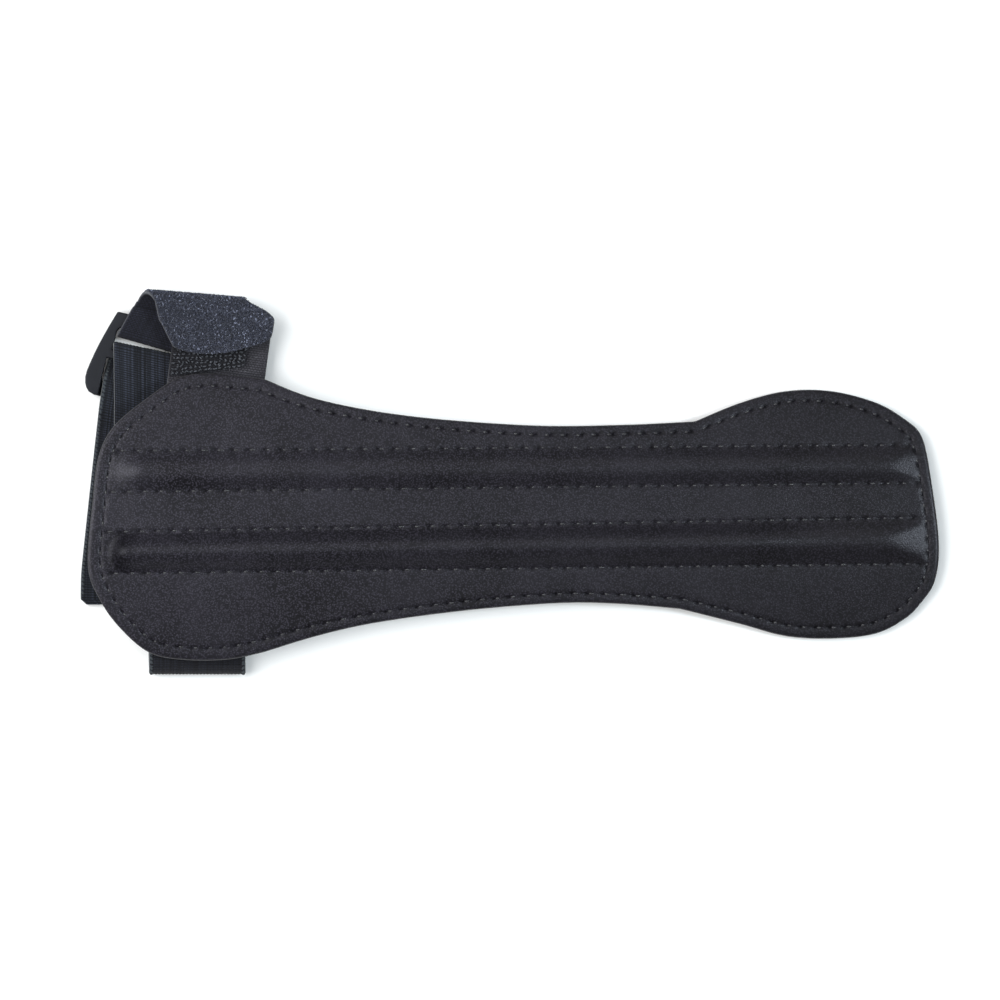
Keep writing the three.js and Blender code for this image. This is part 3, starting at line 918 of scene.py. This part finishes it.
def closureSections():
    bar = closure["loopYaw"]
    route = [
        (-85.1, 52.5, 1.55, -8, 0, 25.6, 0), (-86.9, 49.4, 0.6, -12, 0, 25.4, 1.2),
        (-90.4, 43.2, 0.6, bar, 0, 25.2, 1.8), (-90.52, 43.23, 4.35, bar, 0, 25.45, 1.8),
        (-86.3, 50.4, 4.35, -11, 0, 26.4, 1.2), (-84.9, 52.7, 3.1, -6, 0, 27, 1.2),
        (-83, 56.6, 3.1, -4.7, 0, 26.8, 2.7), (-81, 56.5, 8.95, -4.7, 0, 26.8, 2.7),
        (-77.6, 51, 8.95, 6, 0, 27.6, 1), (-75, 46.3, 8.95, 11, 0, 27.2, 0),
    ]
    path = strapPath(route, closure["stride"])
    last, yaw, roll, width = path[-1]
    ahead = Vector((sin(yaw), -cos(yaw), 0))
    side = Vector((cos(yaw), sin(yaw), 0))
    for share in closure["endShares"]:
        left, right = (width / 2 * sqrt(1 - share ** power) for power in closure["endRounds"])
        spot = last + ahead * closure["bulge"] * share + side * (right - left) / 2
        path.append((spot, yaw, roll, left + right))
    result = []
    for section in strapSections(path):  # the right edge follows its own curve
        cut = tableAt(closure["cuts"], section.run)
        result.append(section._replace(point=section.point - section.across * cut / 2,
                                       width=section.width - cut))
    return result


def makeLoop():
    bpy.ops.mesh.primitive_torus_add(
        major_segments=10, minor_segments=3, major_radius=closure["loop"] * mm,
        minor_radius=closure["yarn"] * mm, rotation=(radians(90), 0, 0))
    template = nameActive("pileLoop")
    bpy.ops.object.transform_apply()
    startEdit()
    bpy.ops.mesh.bisect(plane_co=(0, 0, -closure["loopCut"] * mm), plane_no=(0, 0, 1),
                        clear_inner=True, use_fill=True)
    bpy.ops.object.mode_set(mode="OBJECT")
    return template


def pileShare(run, side):
    return ease((run - closure["pileFrom"]) / closure["pileFade"]) if side < 0 else 0.0


def pilePlaces(flap):
    draw = random.Random(closure["seed"])
    first, last = flap[0].run, flap[-1].run
    widest = max(s.width for s in flap)
    half, lean = closure["thick"] / 2, closure["loopLean"]
    places = []
    while len(places) < closure["loops"]:
        want = first + (last - first) * draw.random()
        u = draw.random()
        i = max(k for k, s in enumerate(flap) if s.run <= want)
        a, b = flap[i], flap[min(i + 1, len(flap) - 1)]
        if draw.random() > a.width / widest:
            continue
        t = (want - a.run) / max(b.run - a.run, 1e-6)
        up = -a.up.lerp(b.up, t).normalized()
        inner = closure["pileInset"] / a.width
        u = inner + (1 - 2 * inner) * u
        spot = onStrap(a, u, -1, half).lerp(onStrap(b, u, -1, half), t)
        turn = Matrix.Rotation(draw.uniform(0, tau), 3, "Z")
        turn = turn @ Matrix.Rotation(draw.uniform(-lean, lean), 3, "X")
        place = (up.to_track_quat("Z", "Y").to_matrix() @ turn).to_4x4()
        wide, high = draw.uniform(*closure["loopWide"]), draw.uniform(*closure["loopHigh"])
        place = place @ Matrix.Diagonal((wide, 1, high, 1))
        place.translation = placed(*spot)
        places.append(place)
    return places


def makeClosure(material, pileMaterial):
    sections = closureSections()
    piece = makeStrap("closureStrap", sections, closure["columns"], plainHalf(closure), pileShare)
    hand(piece, "loop_webbing", material, "closure_strap")
    places = pilePlaces([s for s in sections if s.run >= closure["pileFrom"]])
    pile = layCopies("loopPile", makeLoop(), places, 80, "loop_webbing", pileMaterial)


hookTab = dict(
    thick=1.1, yaw=-7.8, cords=32, perCord=4, relief=0.1, weft=0.75,
    stride=0.375, edgeRound=0.4,
)
tabLook = dict(
    plainWeave, dark=(0.007, 0.0068, 0.0085), light=(0.06, 0.0575, 0.07),
    fleck=(0.13, 0.13, 0.145), selvedgeAndHighlight=(0.07, 0.072, 0.078), sheen=0.06, streak=0.2,
    lines=0.35, yarn=0.00078, pick=0.0006, gap=0.0001, depth=0.0001, fuzz=0.00006,
)


def tabHalf(u, run, width):
    cord = cos(2 * pi * u * hookTab["cords"])
    weave = 0.5 - 0.5 * cord * cos(pi * run / hookTab["weft"])
    return roundEdge(u, width, hookTab["thick"] / 2 - hookTab["relief"] * weave, hookTab["edgeRound"])


def makeHookTab(material):
    yaw, thick = hookTab["yaw"], hookTab["thick"]
    route = [
        (*sewnUnder(-78.3, 26, yaw, thick), 25, 0), (*sewnUnder(-76.9, 36.6, yaw, thick), 25, 0.6),
        (-76.3, 41, 5.92, yaw, 0, 25, 2), (-74.9, 51, 5.92, yaw, 0, 25, 0)]
    sections = strapSections(strapPath(route, hookTab["stride"]))
    piece = makeStrap("hookTab", sections, hookTab["cords"] * hookTab["perCord"], tabHalf)
    hand(piece, "webbing", material, "hook_tab")


hookPatch = dict(
    whole=0.85, thick=0.3, width=19.8, columns=40, stride=0.5, edgeRound=0.3,
    rowPitch=1.12, hookPitch=0.62, stem=0.2, bed=0.05, seed=5,
    rowsFrom=0.7, rowsTo=0.4, hooksFrom=0.6, hooksTo=0.5, stagger=0.4,
    rowStray=0.24, sideStray=0.18, turnStray=0.9, wide=(0.8, 1.5), high=(0.7, 1.1),
    curl=[  # along, up, share of the stem, degrees that the yarn has bent
        (0, 0.3, 0.92, 4), (0.04, 0.46, 0.88, 28), (0.15, 0.57, 0.84, 66), (0.3, 0.59, 0.76, 102),
        (0.42, 0.5, 0.6, 136), (0.48, 0.39, 0.38, 152)],
    shade=0.064, roughness=0.23,
)
tapeLook = dict(
    plainWeave, dark=(0.0016, 0.0016, 0.0022), light=(0.014, 0.014, 0.018),
    fleck=(0.03, 0.03, 0.036), selvedgeAndHighlight=(0.02, 0.02, 0.024), sheen=0.0,
    yarn=0.0009, pick=0.00045, gap=0.0001, depth=0.00008,
)


def makeHook():
    bpy.ops.mesh.primitive_circle_add(vertices=5, radius=hookPatch["stem"] * mm, fill_type="NGON")
    template = nameActive("hook")
    startEdit()
    lastX, lastZ, lastSize, lastBent = 0, 0, 1, 0
    for x, z, size, bent in hookPatch["curl"]:
        middle = (x * mm, 0, z * mm)
        bpy.ops.mesh.extrude_region_move(
            TRANSFORM_OT_translate={"value": ((x - lastX) * mm, 0, (z - lastZ) * mm)})
        bpy.ops.transform.resize(value=(size / lastSize,) * 3, center_override=middle)
        bpy.ops.transform.rotate(value=radians(lastBent - bent), orient_axis="Y", center_override=middle)
        lastX, lastZ, lastSize, lastBent = x, z, size, bent
    finishEdit()
    return template


def hookPlaces(sections):
    draw = random.Random(hookPatch["seed"])
    stray = lambda key: draw.uniform(-hookPatch[key], hookPatch[key])
    first, pitch = hookPatch["hooksFrom"], hookPatch["hookPitch"]
    count = int((hookPatch["width"] - 2 * first) / pitch)
    places = []
    row, want = 0, hookPatch["rowsFrom"]
    while want < sections[-1].run - hookPatch["rowsTo"]:
        for k in range(count + 1):
            near = want + stray("rowStray")
            section = [s for s in sections if s.run <= near][-1]
            u = (first + k * pitch + (row % 2) * hookPatch["stagger"]) / section.width
            if u > 1 - hookPatch["hooksTo"] / section.width:
                continue
            turn = (pi if (k + row) % 2 else 0) + stray("turnStray")
            u += stray("sideStray") / section.width
            root = onStrap(section, u, 1, hookPatch["thick"] / 2 - hookPatch["bed"])
            wide, high = draw.uniform(*hookPatch["wide"]), draw.uniform(*hookPatch["high"])
            places.append(Matrix.Translation(placed(*root)) @ Matrix.Rotation(turn, 4, "Z")
                          @ Matrix.Diagonal((wide, 1, high, 1)))
        want += hookPatch["rowPitch"]
        row += 1
    return places


def makeHookPatch(material, hookMaterial):
    lift = hookPatch["thick"] / 2 - hookPatch["whole"] / 2
    route = [(-79.6, 37.15, 7.93 + lift, 7.5, 0, hookPatch["width"], 0),
             (-77.7, 50, 7.3 + lift, -7.8, 0, hookPatch["width"], 0)]
    sections = strapSections(strapPath(route, hookPatch["stride"]))
    piece = makeStrap("hookPatch", sections, hookPatch["columns"], plainHalf(hookPatch))
    hand(piece, "hook_tape", material, "hook_patch")
    hooks = layCopies("hooks", makeHook(), hookPlaces(sections), 60, "hook_tape", hookMaterial)


# Slider: a grid with its slots taken out, given its height, its dropped bar and its rounds

slider = dict(
    corner=(-102.6, 52.7), yaw=-13.8, length=28, flare=0.2174, bow=0.7, depth=22.4,
    lines=[0, 1.2, 3.5, 4.1, 5.0, 6.4, 8.2, 9.9, 11.2, 12.3, 14.0, 15.1, 16.8, 18.4, 19.9, 21.1,
              21.9, 22.4],
    upperSlot=(3.5, 9.9), lowerSlot=(12.3, 18.4), middle=11,
    upperEnd=1.05, upperRound=1.25, roundAt=3.5, roundReach=1.6, lowerEnd=0.1,
    footFrom=14.8, step=0.5, low=1.6, high=3.4, barHigh=1.7, slack=0.01,
    round=6.0, roundCut=4.0, bevel=0.42, shade=0.003, roughness=0.45,
)


def sliderLine(s):  # the outer side, the slot's end and the step beyond it, on the left and the right
    turn = max(0, s - slider["depth"] + slider["round"]) / slider["round"]
    out = (-s * slider["flare"] - slider["bow"] * sin(pi * s / slider["depth"])
           + slider["roundCut"] * (1 - sqrt(1 - min(turn, 1) ** 2)))
    near = max(0, 1 - abs(s - slider["roundAt"]) / slider["roundReach"])
    upper = slider["upperEnd"] + slider["upperRound"] * near ** 2
    end = slider["lowerEnd"] if s > slider["middle"] else upper
    left = [out, end, end + slider["step"]]
    return left + [slider["length"] - l for l in reversed(left)]


def makeSlider(material):
    lines, slack = slider["lines"], slider["slack"]
    columns, rows = len(sliderLine(0)) - 1, len(lines) - 1
    bpy.ops.mesh.primitive_grid_add(x_subdivisions=columns, y_subdivisions=rows, size=1)
    piece = nameActive("strapSlider")
    cells = []
    for vertex in piece.data.vertices:
        column, row = round((vertex.co.x + 0.5) * columns), round((0.5 - vertex.co.y) * rows)
        vertex.co = Vector((sliderLine(lines[row])[column], -lines[row], slider["high"])) * mm
        cells.append((column, row))
    for face in piece.data.polygons:
        left = min(cells[i][0] for i in face.vertices)
        s = lines[min(cells[i][1] for i in face.vertices)]
        inSlot = any(a <= s < b for a, b in (slider["upperSlot"], slider["lowerSlot"]))
        face.select = inSlot and 0 < left < columns - 1
    bpy.ops.object.mode_set(mode="EDIT")
    bpy.ops.mesh.select_mode(type="FACE")
    bpy.ops.mesh.delete(type="FACE")  # the two slots
    bpy.ops.mesh.select_all(action="SELECT")
    bpy.ops.mesh.extrude_region_move(
        TRANSFORM_OT_translate={"value": (0, 0, (slider["low"] - slider["high"]) * mm)})
    finishEdit()
    for vertex in piece.data.vertices:
        s, upper = -vertex.co.y / mm, vertex.co.z > (slider["high"] - slack) * mm
        inner = sliderLine(s)[2]
        inside = inner - slack < vertex.co.x / mm < slider["length"] - inner + slack
        if not upper and s > slider["footFrom"]:
            vertex.co.z = 0
        elif upper and inside and s > slider["lowerSlot"][1] - slack:
            vertex.co.z = slider["barHigh"] * mm  # the dropped bar that the tail passes over
    finishWith(piece, "BEVEL", width=slider["bevel"] * mm, segments=3, limit_method="ANGLE",
               angle_limit=radians(40))
    smoothShade(piece, 50)
    finishWith(piece, "WEIGHTED_NORMAL", keep_sharp=True)  # the plates stay flat between their bevels
    turn = Matrix.Rotation(radians(slider["yaw"]), 4, "Z")
    piece.data.transform(Matrix.Translation(placed(*slider["corner"], 0)) @ turn)
    hand(piece, "slider_plastic", material, "slider")


# Stage, light and camera

view = dict(
    middle=(-2.49, -4.61), across=258.8, height=9.0, subject=8.0,
)
light = dict(
    world=0.36, floor=(0.92, 0.92, 0.92),
    lamps=[  # name, place, size, power, colour
        ("leftLight", (-0.66, 0.1, 0.75), (0.85, 0.95), 12.4, (0.98, 1, 1)),
        ("rightLight", (0.66, 0.02, 0.98), (0.2, 0.26), 6.2, (0.84, 0.95, 1)),
        ("farLight", (-0.1, 0.8, 1.2), (1.0, 0.5), 1.8, (1, 1, 1)),
        ("topLight", (-0.37, -0.02, 1.45), (0.9, 0.8), 1.75, (1, 1, 1))],
)


def makeStage():
    bpy.ops.mesh.primitive_plane_add(size=3)
    floor = nameActive("floor")
    material, _ = startMaterial(
        "paleFloor", Base_Color=light["floor"], Roughness=0.9, Specular_IOR_Level=0.1)
    floor.data.materials.append(material)
    scene = bpy.context.scene
    scene.world = bpy.data.worlds.new("softRoom")
    scene.world.use_nodes = True
    background = scene.world.node_tree.nodes["Background"]
    background.inputs["Color"].default_value = (1, 1, 1, 1)
    background.inputs["Strength"].default_value = light["world"]
    for name, at, size, power, colour in light["lamps"]:
        place = Vector(at)
        turn = (-place).to_track_quat("-Z", "Y").to_euler()
        bpy.ops.object.light_add(type="AREA", location=place, rotation=turn)
        lamp = nameActive(name)
        lamp.data.shape = "RECTANGLE"
        lamp.data.size, lamp.data.size_y = size
        lamp.data.energy, lamp.data.color = power, colour
    x, y = view["middle"]
    bpy.ops.object.camera_add(location=(x * mm, y * mm, view["height"]))
    camera = nameActive("camera")
    away = view["height"] - view["subject"] * mm
    camera.data.lens = camera.data.sensor_width * away / (view["across"] * mm)
    scene.camera = camera
    scene.view_settings.view_transform = "Standard"


makeStage()
print("stage, light and camera")
faceLeather = leatherMaterial("blackLeather")
backLeather = leatherMaterial("backLeather", leatherLook["backLightness"])
makeFacePanel(faceLeather)
print("face panel")
makeBackPanel(backLeather)
print("back panel")
makeThreads(threadMaterial("blackThread"))
print("seam threads")
makeElastic(wovenMaterial("ribbedElastic", elasticLook),
            wovenMaterial("selvedgeYarn", selvedgeLook))
print("elastic strap")
makeClosure(wovenMaterial("closureWeave", closureLook), wovenMaterial("loopYarn", pileLook))
print("closure strap")
makeHookTab(wovenMaterial("tabWebbing", tabLook))
makeHookPatch(wovenMaterial("hookTape", tapeLook),
              plasticMaterial("hookPlastic", hookPatch["shade"], hookPatch["roughness"]))
print("hook tab and hook patch")
makeSlider(plasticMaterial("satinPlastic", slider["shade"], slider["roughness"]))
print("slider")
